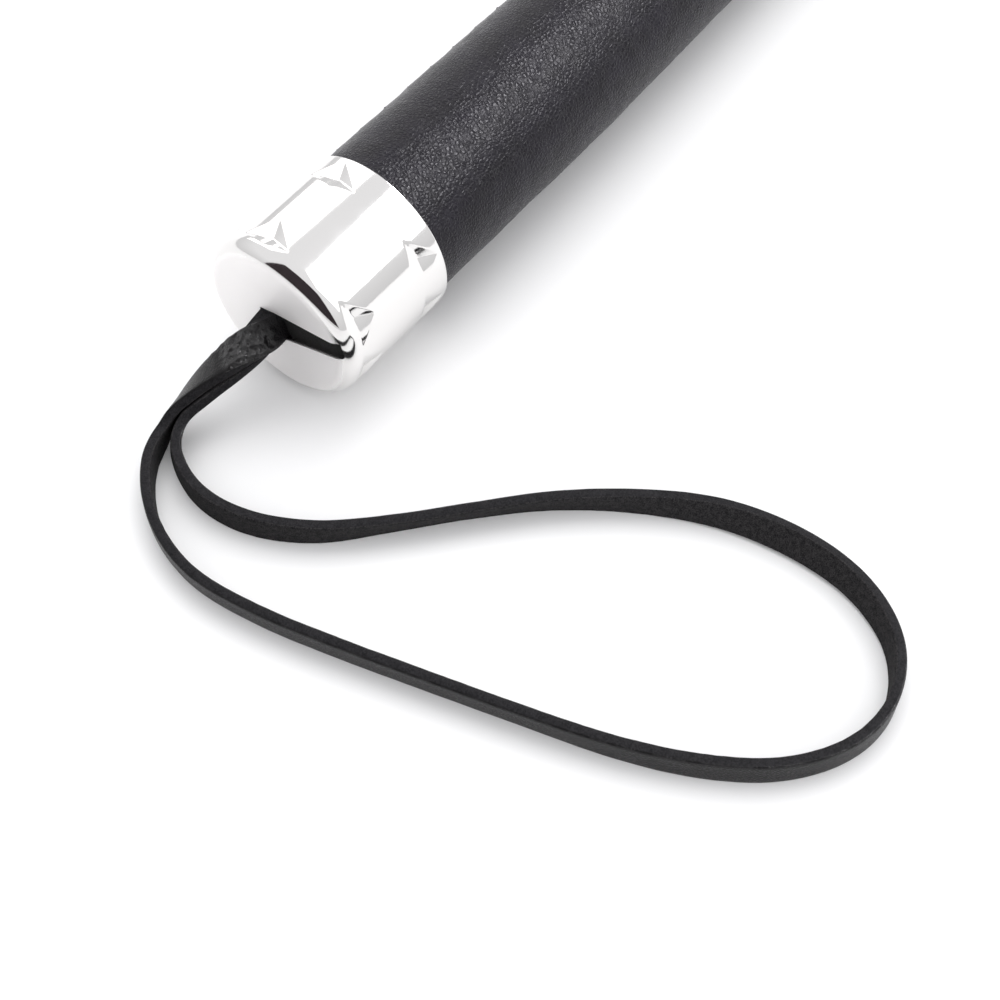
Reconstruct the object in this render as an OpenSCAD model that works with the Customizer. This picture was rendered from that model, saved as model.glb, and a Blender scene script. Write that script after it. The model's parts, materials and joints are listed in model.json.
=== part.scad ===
// Riding crop: a capped leather handle with a wrist strap, a braided tapered shaft and a leather keeper.
// It lies on a table and rests on the cap's front rim, on the keeper's whipping and on the strap's loop.

/* [Crop] */
// Whole length from the cap's end face to the keeper's end
crop_len = 600; // [560:5:680]

/* [End cap] */
// Outer diameter of the metal cap
cap_d = 25; // [23:0.5:28]
// Length of the metal cap
cap_len = 20; // [16:1:26]
// Wall of the metal cap
cap_wall = 0.8; // [0.6:0.1:1]
// Rounding between the cap's end face and its side
cap_round = 2.4; // [1.5:0.1:3]
// Height of the slot at its inner end, where the wrist strap comes out
slot_h = 4.9; // [4.7:0.1:5.5]
// Rise of the slot towards its outer end
slot_angle = 15; // [0:1:25]

/* [Grip] */
// Diameter of the leather grip next to the cap
grip_d = 23; // [21:0.5:23.2]
// Diameter of the grip at its front end
grip_front_d = 17; // [15:0.5:18]
// Distance from the cap's end face to the front of the leather
grip_end = 170; // [140:5:190]
// Thickness of the grip leather
leather_t = 1.1; // [0.8:0.1:1.4]
// Thickness of the soft sleeve under the leather
padding_t = 1.4; // [1:0.1:2]

/* [Shaft] */
// Diameter of the rod inside the handle
rod_d = 6; // [5:0.2:7]
// Diameter of the rod at its tip
rod_tip_d = 3.4; // [3:0.1:4]
// Thickness of the braided cover
braid_t = 1; // [0.8:0.1:1.2]

/* [Keeper] */
// Length of the loose leather tongue
flap_len = 62; // [50:2:80]
// Width of the tongue
flap_w = 26; // [20:1:32]
// Width of the tongue at its root
flap_root_w = 12; // [10:1:14]
// Thickness of the tongue
flap_t = 3.2; // [2.8:0.1:4]
// Length of the thread winding on the keeper's root
whip_len = 20; // [14:1:26]

/* [Wrist strap] */
// Width of the strap
strap_w = 4.5; // [4:0.1:4.6]
// Thickness of the strap
strap_t = 1.4; // [1.2:0.1:1.5]

/* [Hidden] */
$fn = 96;

// Small amounts
over = 1;            // how far a cutter runs past what it cuts
gap = 0.3;           // clearance between pieces that move past each other

// End cap
cap_r = cap_d / 2;
skive = 0.3;         // how much thinner the leather is where the cap covers it
pad_t = 1.8;        // thickness of the leather pad behind the end face
dent_rows = 6;
dent_stations = [4.6, 15.6];
dent_w = 9;          // width of the cutter, more than the dent's chord
dent_half = 1.3;     // half the dent's length along the axis
dent_depth = 0.5;
slot_back = 2.3;     // the slot's blind end lies this far past the axis
slot_full = 0.9;     // it keeps its height to this far out, then narrows
slot_tip_h = 3;      // height of the slot at its outer end
slot_end = cap_r - cap_wall - 0.1;   // just inside the side wall
slot_depth = cap_round + 0.4;        // past the rounding, so it opens all the way

// Grip
grip_r = grip_d / 2;
grip_front_r = grip_front_d / 2;
grip_start = 4;
taper_start = 60;    // the grip is straight up to here
tail_start = -0.1;   // the strap's tails, held in the handle by a pin
tail_len = 19;
tail_y = 0.65;       // the middle of the two tails
pin_d = 2;
pin_x = 13;
pin_len = 13;
pocket_fit = 0.1;
seam_angle = 68;     // the seam's place round the grip, from the top towards +Y
seam_start = 25;
seam_pitch = 5;
seam_len = 3;
seam_d = 0.7;
seam_sunk = 0.35;    // how far a stitch's middle lies under the leather's surface
seam_slant = 25;

// Ferrule and bindings
ferrule_len = 20;
ferrule_lap = 6;
ferrule_wall = 0.7;
ferrule_step = 0.8;
ferrule_start = grip_end - ferrule_lap;
ferrule_end = ferrule_start + ferrule_len;
ferrule_r = grip_front_r + ferrule_wall;
nose_len = 3;
nose_wall = 1;
nose_r = rod_d / 2 + braid_t + nose_wall;
binding_t = 0.5;
binding_len = 8;
binding_end = ferrule_end + binding_len;

// Rod, braid and tip
rod_r = rod_d / 2;
rod_tip_r = rod_tip_d / 2;
rod_start = 120;
braid_tuck = 12;     // how far the braid runs into the ferrule
braid_start = ferrule_end - braid_tuck;
hinge_x = crop_len - flap_len;
rod_short = 16;      // how far the rod ends before the tongue's hinge line
rod_end = hinge_x - rod_short;
tip_cap_lap = 3;
tip_cap_t = 1;
tip_cap_wall = 0.6;
braid_end = rod_end - tip_cap_lap;
tip_cap_end = rod_end + tip_cap_t;

// Keeper
sleeve_t = 1.1;
sleeve_len = 38;     // from its start to the tongue's hinge line
sleeve_start = hinge_x - sleeve_len;
sleeve_end = hinge_x - flap_t / 2 - gap;
whip_t = 0.6;
whip_end = sleeve_start + whip_len;
filler_t = 0.8;
filler_inset = 4;
flap_corner_r = 5;
flap_shoulder = 26;   // where the tongue reaches its full width
stitch_len = 2.6;
stitch_pitch = 3.6;
stitch_d = 0.6;
stitch_inset = 2.2;
stitch_root = 5;      // how far from the hinge line the stitching starts
stitch_proud = 0.2;

// Radius of the rod and of the braid at a distance x from the end face
function rod_r_at(x) = x < grip_end ? rod_r
    : rod_r + (rod_tip_r - rod_r) * (x - grip_end) / (rod_end - grip_end);
function braid_r_at(x) = rod_r_at(x) + braid_t;
function grip_r_at(x) = x < taper_start ? grip_r
    : grip_r + (grip_front_r - grip_r) * (x - taper_start) / (grip_end - taper_start);

// How the crop lies: its axis falls gently from the cap's front rim to the whipping's front end
whip_r = braid_r_at(sleeve_start) + sleeve_t + whip_t;
tilt = atan((cap_r - whip_r) / (whip_end - cap_len));
axis_z = cap_r * cos(tilt) + cap_len * sin(tilt);
hinge_z = axis_z - hinge_x * sin(tilt);
flap_drop = asin((hinge_z - flap_t / 2 - stitch_proud) / flap_len);
back_x = -cap_r * sin(tilt);
front_x = hinge_x * cos(tilt) + flap_len * cos(flap_drop);
mid_x = (back_x + front_x) / 2;

// Wrist strap, measured from the point on the floor below the middle of the cap's end face.
// The strap turns about an upright line just outside the slot.
swing_x = -2;
swing_y = 0.5;
exit_z = 12.1;
strand_gap = 0.2;
// The doubled neck: x, y, z and the lean of the strap's width from upright
neck_route = [
    [swing_x, swing_y, exit_z, 138], [-3.1, 1.1, 11.4, 118], [-4.7, 1.9, 10.4, 100], [-7.1, 3, 8.8, 82],
    [-9.7, 4.2, 6.9, 62], [-12.3, 5, 5.1, 44], [-15, 5.5, 3.6, 26]];
// The open loop, standing on its edge on the floor: x, y and lean
loop_route = [
    [-17.2, 5.8, 6], [-21.6, 4.2, 0], [-26, 0.2, 0], [-29.2, -5.4, -4], [-30.8, -13, -8], [-29.6, -23, -8],
    [-26.8, -34, -8], [-23.6, -45, -8], [-20.2, -56.4, -8], [-16.6, -67.6, -4], [-12.2, -77.2, 0],
    [-6.6, -85, 0], [0.8, -90, 0], [8.6, -90.8, 0], [15.6, -87, -6], [19.8, -79.4, -14], [20.6, -70, -20],
    [18.4, -59.6, -14], [13.4, -50, 2], [6.4, -41, 14], [-1.4, -33.6, 20], [-9, -27, 18], [-16.2, -20, 6],
    [-20.6, -12, 0], [-21.4, -4.2, 0], [-18.6, 2.4, -4]];
neck_steps = 2;      // rings per stretch of the neck

// Unit vector, and the height at which a leaning strap touches the floor
function unit(v) = v / norm(v);
function rest_z(lean) = strap_w / 2 * abs(cos(lean)) + strap_t / 2 * abs(sin(lean));

// Point on the smooth curve through p[i] and p[i + 1], t from 0 to 1
function pick(p, i) = p[max(0, min(len(p) - 1, i))];
function curve(p, i, t) = (2 * pick(p, i) + (pick(p, i + 1) - pick(p, i - 1)) * t
    + (2 * pick(p, i - 1) - 5 * pick(p, i) + 4 * pick(p, i + 1) - pick(p, i + 2)) * t * t
    + (3 * pick(p, i) - pick(p, i - 1) - 3 * pick(p, i + 1) + pick(p, i + 2)) * t * t * t) / 2;
function smooth(p, steps) = [for (i = [0 : len(p) - 2]) for (k = [0 : steps - 1]) curve(p, i, k / steps),
    p[len(p) - 1]];

// Direction of a route at point i, the level direction to its side, and the strap's width and outward directions
function point(p, i) = [p[i][0], p[i][1], p[i][2]];
function ahead(p, i) = unit(point(p, min(i + 1, len(p) - 1)) - point(p, max(i - 1, 0)));
function side(t) = unit([-t[1], t[0], 0]);
function width_dir(t, lean) = cos(lean) * cross(t, side(t)) + sin(lean) * side(t);
function out_dir(t, lean) = sin(lean) * cross(t, side(t)) - cos(lean) * side(t);

// The neck's strand on the outer side (sign 1) or the inner side (sign -1)
neck = smooth(neck_route, neck_steps);
function strand(sign) = [for (i = [0 : len(neck) - 1]) let (t = ahead(neck, i), lean = neck[i][3],
    p = point(neck, i) + sign * (strap_t + strand_gap) / 2 * out_dir(t, lean)) [p[0], p[1], p[2], sign * lean]];
function reversed(list) = [for (i = [len(list) - 1 : -1 : 0]) list[i]];
strap_path = concat(strand(1), [for (q = loop_route) [q[0], q[1], rest_z(q[2]), q[2]]], reversed(strand(-1)));

// Section of the strap: a flat bar with cut corners, as distances along its width and its thickness
strap_corner = 0.25;
half_w = strap_w / 2;
half_t = strap_t / 2;
strap_section = [
    [half_w, half_t - strap_corner], [half_w - strap_corner, half_t],
    [strap_corner - half_w, half_t], [-half_w, half_t - strap_corner],
    [-half_w, strap_corner - half_t], [strap_corner - half_w, -half_t],
    [half_w - strap_corner, -half_t], [half_w, strap_corner - half_t]];

// Puts what is drawn along the crop's own axis, from the cap's end face, where the crop lies
module crop_axis() {
    translate([-mid_x, 0, axis_z]) rotate([0, tilt, 0]) children();
}

// Puts what is drawn from the keeper's hinge line, along the tongue, where the tongue lies
module on_flap() {
    translate([hinge_x * cos(tilt) - mid_x, 0, hinge_z]) rotate([0, flap_drop, 0]) children();
}

// Turns an outline of [distance along the axis, radius] into a round piece along the axis
module turned(outline) {
    rotate([0, 90, 0]) rotate_extrude() polygon([for (q = outline) [q[1], q[0]]]);
}

// Quarter round from the end face to the side: corner radius r, outer radius big_r, face at x
function round_edge(x, big_r, r) = [for (a = [0 : 15 : 90]) [x + r - r * cos(a), big_r - r + r * sin(a)]];

// A flat bar swept along a path of [x, y, z, lean]
module strap_sweep(path) {
    sides = len(strap_section);
    last = (len(path) - 1) * sides;
    points = [for (i = [0 : len(path) - 1]) let (t = ahead(path, i), lean = path[i][3])
        for (q = strap_section) point(path, i) + q[0] * width_dir(t, lean) + q[1] * out_dir(t, lean)];
    walls = [for (i = [0 : len(path) - 2]) for (k = [0 : sides - 1]) let (a = i * sides, b = (k + 1) % sides)
        [a + k, a + sides + k, a + sides + b, a + b]];
    ends = [[for (k = [0 : sides - 1]) k], [for (k = [sides - 1 : -1 : 0]) last + k]];
    polyhedron(points = points, faces = concat(walls, ends), convexity = 10);
}

// Slot in the cap's end face, running outwards from just past the axis
module slot_space(depth) {
    rotate([-slot_angle, 0, 0]) translate([-over, 0, 0]) rotate([90, 0, 90]) linear_extrude(depth + over)
        polygon([[slot_back, -slot_h / 2], [slot_back, slot_h / 2], [-slot_full, slot_h / 2],
            [-slot_end, slot_tip_h / 2], [-slot_end, -slot_tip_h / 2], [-slot_full, -slot_h / 2]]);
}

// One punched dent: a shallow notch across the cap's side, deepest in the middle
module dent() {
    translate([0, dent_w / 2, 0]) rotate([90, 0, 0]) linear_extrude(dent_w)
        polygon([[0, -dent_depth], [2 * dent_half, dent_depth], [-2 * dent_half, dent_depth]]);
}

module end_cap() {
    inner_r = cap_r - cap_wall;
    color("gainsboro") crop_axis() difference() {
        turned(concat(
            [[0, 0]], round_edge(0, cap_r, cap_round), [[cap_len, cap_r], [cap_len, inner_r]],
            reversed(round_edge(cap_wall, inner_r, cap_round - cap_wall)), [[cap_wall, 0]]));
        slot_space(slot_depth);
        for (x = dent_stations, i = [0 : dent_rows - 1])
            rotate([i * 360 / dent_rows, 0, 0]) translate([x, 0, cap_r]) dent();
    }
}

module butt_pad() {
    color("dimgray") crop_axis() difference() {
        turned(concat([[cap_wall, 0]], round_edge(cap_wall, cap_r - cap_wall, cap_round - cap_wall),
            [[cap_wall + pad_t, cap_r - cap_wall], [cap_wall + pad_t, 0]]));
        tail_pocket();
    }
}

// The pocket for the strap's tails, in line with the slot
module tail_pocket() {
    pocket_w = strap_w + 2 * pocket_fit;
    pocket_t = 2 * strap_t + 2 * pocket_fit;
    rotate([-slot_angle, 0, 0]) translate([-over, tail_y - pocket_t / 2, -pocket_w / 2])
        cube([tail_len + over + pocket_fit, pocket_t, pocket_w]);
}

module pin_space() {
    rotate([-slot_angle, 0, 0]) translate([pin_x, tail_y + pin_len / 2, 0]) rotate([90, 0, 0])
        cylinder(d = pin_d, h = pin_len);
}

module strap_tails() {
    color("black") crop_axis() difference() {
        for (s = [0, 1])
            rotate([-slot_angle, 0, 0]) translate([tail_start, tail_y - s * strap_t, -strap_w / 2])
                cube([tail_len - tail_start, strap_t, strap_w]);
        pin_space();
    }
}

module strap_pin() {
    color("silver") crop_axis() pin_space();
}

module wrist_strap() {
    color("black") translate([-mid_x, 0, 0]) strap_sweep(strap_path);
}

module grip_core() {
    core_start = cap_wall + pad_t;
    under = leather_t + padding_t;
    color("burlywood") crop_axis() difference() {
        turned([[core_start, 0], [core_start, grip_r - skive], [grip_start, grip_r - skive],
            [grip_start, grip_r - under],
            [taper_start, grip_r - under], [grip_end, grip_front_r - under], [grip_end, 0]]);
        translate([rod_start, 0, 0]) rotate([0, 90, 0]) cylinder(r = rod_r, h = grip_end - rod_start + over);
        tail_pocket();
        pin_space();
    }
}

module grip_padding() {
    under = leather_t + padding_t;
    color("gray") crop_axis() turned([
        [grip_start, grip_r - leather_t], [taper_start, grip_r - leather_t],
        [grip_end, grip_front_r - leather_t], [grip_end, grip_front_r - under],
        [taper_start, grip_r - under], [grip_start, grip_r - under]]);
}

// The leather, thinned where the cap covers it
module grip_cover() {
    color([0.09, 0.09, 0.11]) crop_axis() turned([
        [grip_start, grip_r - skive], [cap_len, grip_r - skive], [cap_len, grip_r],
        [taper_start, grip_r], [grip_end, grip_front_r], [grip_end, grip_front_r - leather_t],
        [taper_start, grip_r - leather_t], [grip_start, grip_r - leather_t]]);
}

module grip_seam_stitches() {
    color("black") crop_axis() for (x = [seam_start : seam_pitch : ferrule_start - seam_pitch])
        rotate([-seam_angle, 0, 0]) translate([x, 0, grip_r_at(x) - seam_sunk]) rotate([90, 0, seam_slant])
            cylinder(d = seam_d, h = seam_len, center = true, $fn = 8);
}

module front_ferrule() {
    color("gainsboro") crop_axis() turned([
        [ferrule_start, grip_r_at(ferrule_start)], [ferrule_start, ferrule_r], [grip_end, ferrule_r],
        [grip_end + ferrule_step, ferrule_r - ferrule_step], [ferrule_end - nose_len, nose_r + ferrule_step],
        [ferrule_end - nose_len, nose_r], [ferrule_end, nose_r], [ferrule_end, braid_r_at(ferrule_end)],
        [braid_start, braid_r_at(braid_start)], [braid_start, rod_r_at(braid_start)],
        [grip_end, rod_r], [grip_end, grip_front_r]]);
}

module front_binding() {
    color("black") crop_axis() turned([
        [ferrule_end, braid_r_at(ferrule_end)], [ferrule_end, braid_r_at(ferrule_end) + binding_t],
        [binding_end, braid_r_at(binding_end) + binding_t], [binding_end, braid_r_at(binding_end)]]);
}

module shaft_rod() {
    color("ivory") crop_axis()
        turned([[rod_start, 0], [rod_start, rod_r], [grip_end, rod_r], [rod_end, rod_tip_r], [rod_end, 0]]);
}

module shaft_braid() {
    color([0.08, 0.08, 0.09]) crop_axis() turned([
        [braid_start, rod_r_at(braid_start)], [braid_start, braid_r_at(braid_start)],
        [braid_end, braid_r_at(braid_end)], [braid_end, rod_r_at(braid_end)]]);
}

module tip_cap() {
    outer_r = rod_tip_r + tip_cap_wall;
    color("dimgray") crop_axis() turned([
        [rod_end, 0], [rod_end, rod_tip_r], [braid_end, rod_r_at(braid_end)], [braid_end, outer_r],
        [tip_cap_end, outer_r], [tip_cap_end, 0]]);
}

// The keeper's root: a round leather wrap that flattens towards the tongue
module keeper_sleeve() {
    round_r = braid_r_at(whip_end) + sleeve_t;
    inner_r = rod_tip_r + tip_cap_wall;
    color([0.1, 0.1, 0.12]) crop_axis() difference() {
        union() {
            turned([[sleeve_start, 0], [sleeve_start, braid_r_at(sleeve_start) + sleeve_t],
                [whip_end, round_r], [whip_end, 0]]);
            hull() {
                translate([whip_end, 0, 0]) rotate([0, 90, 0]) cylinder(r = round_r, h = 0.5, $fn = 32);
                translate([sleeve_end - 1, -flap_root_w / 2, -flap_t / 2]) cube([1, flap_root_w, flap_t]);
            }
        }
        turned([[sleeve_start - over, 0], [sleeve_start - over, braid_r_at(sleeve_start - over)],
            [braid_end, braid_r_at(braid_end)], [braid_end, inner_r], [tip_cap_end, inner_r], [tip_cap_end, 0]]);
    }
}

module keeper_whipping() {
    under_start = braid_r_at(sleeve_start) + sleeve_t;
    under_end = braid_r_at(whip_end) + sleeve_t;
    color("black") crop_axis() turned([
        [sleeve_start, under_start], [sleeve_start, whip_r], [whip_end, whip_r], [whip_end, under_end]]);
}

// Half of the tongue's outline, from its root to its end, drawn in by a distance all round
function half_tongue(inset) = concat(
    [[inset, flap_root_w / 2 - inset / 2], [flap_shoulder, flap_w / 2 - inset]],
    [for (a = [90 : -15 : 0]) let (r = flap_corner_r - inset)
        [flap_len - inset - r + r * cos(a), flap_w / 2 - inset - r + r * sin(a)]]);
function tongue(inset) = concat(half_tongue(inset), [for (q = reversed(half_tongue(inset))) [q[0], -q[1]]]);

module filler_space() {
    translate([0, 0, -filler_t / 2]) linear_extrude(filler_t) polygon(tongue(filler_inset));
}

module keeper_flap() {
    color([0.09, 0.09, 0.11]) on_flap() difference() {
        union() {
            translate([0, 0, -flap_t / 2]) linear_extrude(flap_t) polygon(tongue(0));
            rotate([90, 0, 0]) cylinder(d = flap_t, h = flap_root_w, center = true);
        }
        filler_space();
    }
}

module keeper_filler() {
    color("saddlebrown") on_flap() filler_space();
}

// A row of stitches from one point of the tongue to another, on both faces
module stitch_row(from, to) {
    run = norm(to - from);
    count = floor(run / stitch_pitch);
    turn = atan2(to[1] - from[1], to[0] - from[0]);
    for (i = [0 : count - 1], face = [-1, 1])
        translate([from[0], from[1], face * (flap_t / 2 + stitch_proud - stitch_d / 2)]) rotate([0, 0, turn])
            translate([(i + 0.5) * run / count - stitch_len / 2, 0, 0]) rotate([0, 90, 0])
                cylinder(d = stitch_d, h = stitch_len, $fn = 8);
}

module keeper_stitching() {
    edge = flap_w / 2 - stitch_inset;
    far = flap_len - stitch_inset;
    root = [stitch_root, flap_root_w / 2 - stitch_inset / 2];
    color("dimgray") on_flap() for (s = [-1, 1]) {
        stitch_row([root[0], s * root[1]], [flap_shoulder, s * edge]);
        stitch_row([flap_shoulder, s * edge], [flap_len - flap_corner_r, s * edge]);
        stitch_row([far, 0], [far, s * (edge - flap_corner_r + stitch_inset)]);
    }
}

end_cap();
butt_pad();
strap_tails();
strap_pin();
wrist_strap();
grip_core();
grip_padding();
grip_cover();
grip_seam_stitches();
front_ferrule();
front_binding();
shaft_rod();
shaft_braid();
tip_cap();
keeper_sleeve();
keeper_whipping();
keeper_flap();
keeper_filler();
keeper_stitching();
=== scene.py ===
"""Looks of a riding crop that lies on a pale table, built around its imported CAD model."""
import json
import math

import bmesh
import bpy
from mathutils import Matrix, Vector, noise


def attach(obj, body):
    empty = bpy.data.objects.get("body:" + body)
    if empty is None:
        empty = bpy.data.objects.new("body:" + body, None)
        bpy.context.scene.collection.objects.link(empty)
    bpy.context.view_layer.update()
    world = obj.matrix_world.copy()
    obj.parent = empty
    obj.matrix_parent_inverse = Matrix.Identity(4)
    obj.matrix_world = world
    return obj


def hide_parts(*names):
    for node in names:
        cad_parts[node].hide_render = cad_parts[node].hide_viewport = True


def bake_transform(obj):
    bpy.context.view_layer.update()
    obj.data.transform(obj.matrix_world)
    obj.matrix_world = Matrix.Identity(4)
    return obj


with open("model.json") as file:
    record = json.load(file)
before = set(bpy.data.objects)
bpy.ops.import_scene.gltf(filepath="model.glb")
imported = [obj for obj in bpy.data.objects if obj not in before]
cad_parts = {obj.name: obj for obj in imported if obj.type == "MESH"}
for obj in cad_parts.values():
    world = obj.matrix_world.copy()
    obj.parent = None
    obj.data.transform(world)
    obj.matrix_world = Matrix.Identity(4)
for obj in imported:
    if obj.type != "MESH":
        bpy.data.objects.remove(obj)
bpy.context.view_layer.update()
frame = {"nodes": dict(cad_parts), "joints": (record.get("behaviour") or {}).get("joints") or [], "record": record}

MM = 0.001
SCENE = bpy.context.scene
TAU = 2 * math.pi

# ---------------------------------------------------------------- sizes, in millimetres, as in the design

CAP_R = 12.5
CAP_LEN = 20.0
CAP_WALL = 0.8
CAP_ROUND = 2.4
SATIN_FROM = 0.1
SATIN_TO = 0.4
SLOT_BACK = 2.2
SLOT_FULL = 0.9
SLOT_END = 11.6
SLOT_H = 4.6
SLOT_TIP_H = 2.7
SLOT_ANGLE = math.radians(15)

GRIP_R = 11.5
GRIP_FRONT_R = 8.5
GRIP_START = 4.0
TAPER_START = 60.0
GRIP_END = 170.0
LEATHER_T = 1.1
SKIVE = 0.3
CLIP_X = 40.0
SEAM_ANGLE = math.radians(68)

FERRULE_START = 164.0
FERRULE_END = 184.0
BINDING_END = 192.0
ROD_R = 3.0
ROD_TIP_R = 1.7
ROD_END = 522.0
BRAID_T = 1.0
BRAID_END = 519.0

HINGE = 538.0
FLAP_LEN = 62.0
FLAP_W = 26.0
FLAP_ROOT_W = 12.0
FLAP_T = 3.2
SLEEVE_START = 500.0
SLEEVE_T = 1.1
WHIP_END = 520.0

STRAP_W = 4.5
STRAP_T = 1.4
STRAND_GAP = 0.2

# ---------------------------------------------------------------- the crop's own axis, from its mounts

MOUNTS = {mount["name"]: mount for mount in frame["record"]["mounts"]}
AXIS = Vector(MOUNTS["grip_clip"]["axis"]).normalized()
LEFT = Vector((0, 1, 0))
UP = AXIS.cross(LEFT)
BUTT = Vector(MOUNTS["grip_clip"]["pos_m"]) - AXIS * CLIP_X * MM
BUTT_FLOOR = Vector((BUTT.x, BUTT.y, 0))


def on_crop(x, y, z):
    """The point x along the crop from its end face, y to its left and z above its axis, in millimetres."""
    return BUTT + (AXIS * x + LEFT * y + UP * z) * MM


def around(x, radius, angle):
    """The point at a distance along the crop, a radius and an angle from the top towards its left."""
    return on_crop(x, radius * math.sin(angle), radius * math.cos(angle))


def by_butt(x, y, z):
    """The point measured from the floor below the middle of the end face, in millimetres."""
    return BUTT_FLOOR + Vector((x, y, z)) * MM


def rod_radius(x):
    return ROD_R + (ROD_TIP_R - ROD_R) * max(0.0, x - GRIP_END) / (ROD_END - GRIP_END)


def braid_radius(x):
    return rod_radius(x) + BRAID_T


def grip_radius(x):
    return GRIP_R + (GRIP_FRONT_R - GRIP_R) * max(0.0, x - TAPER_START) / (GRIP_END - TAPER_START)


def smoothstep(low, high, value):
    t = min(1.0, max(0.0, (value - low) / (high - low)))
    return t * t * (3 - 2 * t)


def mix(a, b, t):
    return a + (b - a) * t


# ---------------------------------------------------------------- camera

CAMERA_AT = (-100.5, -116.7, 215.0)
CAMERA_AHEAD = (0.411, 0.3254, -0.8516)
CAMERA_LENS = 69.6


def make_camera():
    data = bpy.data.cameras.new("camera")
    data.lens = CAMERA_LENS
    data.sensor_width = 36
    data.clip_start = 0.01
    data.clip_end = 50
    camera = bpy.data.objects.new("camera", data)
    camera.location = by_butt(*CAMERA_AT)
    camera.rotation_mode = "QUATERNION"
    camera.rotation_quaternion = Vector(CAMERA_AHEAD).to_track_quat("-Z", "Y")
    SCENE.collection.objects.link(camera)
    SCENE.camera = camera


make_camera()

# ---------------------------------------------------------------- mesh helpers


def make_mesh(name, points, faces, materials, slots=None, smooth=True):
    mesh = bpy.data.meshes.new(name)
    mesh.from_pydata([tuple(p) for p in points], [], faces)
    for material in materials:
        mesh.materials.append(material)
    if slots:
        mesh.polygons.foreach_set("material_index", slots)
    mesh.polygons.foreach_set("use_smooth", [smooth] * len(mesh.polygons))
    mesh.validate()
    obj = bpy.data.objects.new(name, mesh)
    SCENE.collection.objects.link(obj)
    return obj


def skin(rings, closed_ends=True, offset=0):
    """Faces that join rings of equal length, each ring closed on itself."""
    count = len(rings[0])
    faces = []
    for i in range(len(rings) - 1):
        a = offset + i * count
        for k in range(count):
            n = (k + 1) % count
            faces.append((a + k, a + n, a + count + n, a + count + k))
    if closed_ends:
        faces.append(tuple(offset + k for k in reversed(range(count))))
        last = offset + (len(rings) - 1) * count
        faces.append(tuple(last + k for k in range(count)))
    return faces


def flat(rings):
    return [p for ring in rings for p in ring]


def catmull(points, steps):
    """Points on the smooth curve through a list of equal-length tuples."""
    out = []
    for i in range(len(points) - 1):
        a, b, c, d = (points[max(0, min(len(points) - 1, j))] for j in (i - 1, i, i + 1, i + 2))
        for k in range(steps):
            t = k / steps
            out.append(tuple(
                0.5 * (2 * q + (r - p) * t + (2 * p - 5 * q + 4 * r - s) * t * t
                       + (3 * q - p - 3 * r + s) * t ** 3)
                for p, q, r, s in zip(a, b, c, d)))
    out.append(tuple(points[-1]))
    return out


def spread(start, end, step):
    """Evenly spaced values from start to end, about a step apart."""
    count = max(1, round((end - start) / step))
    return [start + (end - start) * i / count for i in range(count + 1)]


def lathe(name, outline, sides, material, closed=True, lift=None):
    """A round piece along the crop from an outline of (distance, radius) points.

    A closed outline comes back to its start; an open one gets a flat face at each of its ends.
    lift(i, angle) says how far point i of the outline is raised at an angle.
    """
    rings = []
    for k in range(sides):
        angle = TAU * k / sides
        rings.append([around(x, r + (lift(i, angle) if lift else 0), angle)
                      for i, (x, r) in enumerate(outline)])
    count = len(outline)
    faces = []
    for k in range(sides):
        a, b = k * count, (k + 1) % sides * count
        for i in range(count if closed else count - 1):
            n = (i + 1) % count
            faces.append((a + i, a + n, b + n, b + i))
    if not closed:
        faces.append(tuple(k * count for k in range(sides)))
        faces.append(tuple(k * count + count - 1 for k in range(sides)))
    piece = make_mesh(name, flat(rings), faces, [material])
    outward(piece)
    return piece


def sharpen(obj, degrees):
    """Keeps the edges that turn more than an angle crisp under smooth shading."""
    obj.data.set_sharp_from_angle(angle=math.radians(degrees))


def outward(obj):
    """Turns the faces of a closed mesh to look outwards."""
    work = bmesh.new()
    work.from_mesh(obj.data)
    bmesh.ops.recalc_face_normals(work, faces=work.faces)
    work.to_mesh(obj.data)
    work.free()


def capsule_points(start, end, up, radius, sides=8):
    """Rings of a stitch: a short round bar between two points whose ends dive in, opposite to up."""
    along = end - start
    length = along.length
    along.normalize()
    across = along.cross(up).normalized()
    rings = []
    for t in (0.0, 0.08, 0.25, 0.5, 0.75, 0.92, 1.0):
        arch = math.sin(math.pi * t)
        centre = start + along * length * t - up * radius * 0.9 * (1 - arch) ** 2
        size = radius * (0.45 + 0.55 * arch ** 0.5) if 0 < t < 1 else radius * 0.35
        rings.append([centre + (across * math.cos(a) + up * math.sin(a)) * size
                      for a in (TAU * k / sides for k in range(sides))])
    return rings


def many_tubes(name, tubes, materials):
    """One mesh out of several closed tubes, each a list of rings."""
    points, faces = [], []
    for rings in tubes:
        faces += skin(rings, offset=len(points))
        points += flat(rings)
    obj = make_mesh(name, points, faces, materials)
    outward(obj)
    return obj


# ---------------------------------------------------------------- materials


def add(tree, kind, inputs=None, **settings):
    node = tree.nodes.new(kind)
    for key, value in settings.items():
        setattr(node, key, value)
    for key, value in (inputs or {}).items():
        if isinstance(value, bpy.types.NodeSocket):
            tree.links.new(value, node.inputs[key])
        else:
            node.inputs[key].default_value = value
    return node


def new_material(name, color, roughness, metallic=0.0, specular=0.5):
    material = bpy.data.materials.new(name)
    material.use_nodes = True
    shader = material.node_tree.nodes["Principled BSDF"]
    shader.inputs["Base Color"].default_value = (*color, 1)
    shader.inputs["Roughness"].default_value = roughness
    shader.inputs["Metallic"].default_value = metallic
    shader.inputs["Specular IOR Level"].default_value = specular
    return material


def coordinates(tree, scale=(1, 1, 1)):
    """Position on the object, with each axis multiplied."""
    place = add(tree, "ShaderNodeTexCoord").outputs["Object"]
    return add(tree, "ShaderNodeMapping", {"Vector": place, "Scale": scale}).outputs["Vector"]


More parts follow.
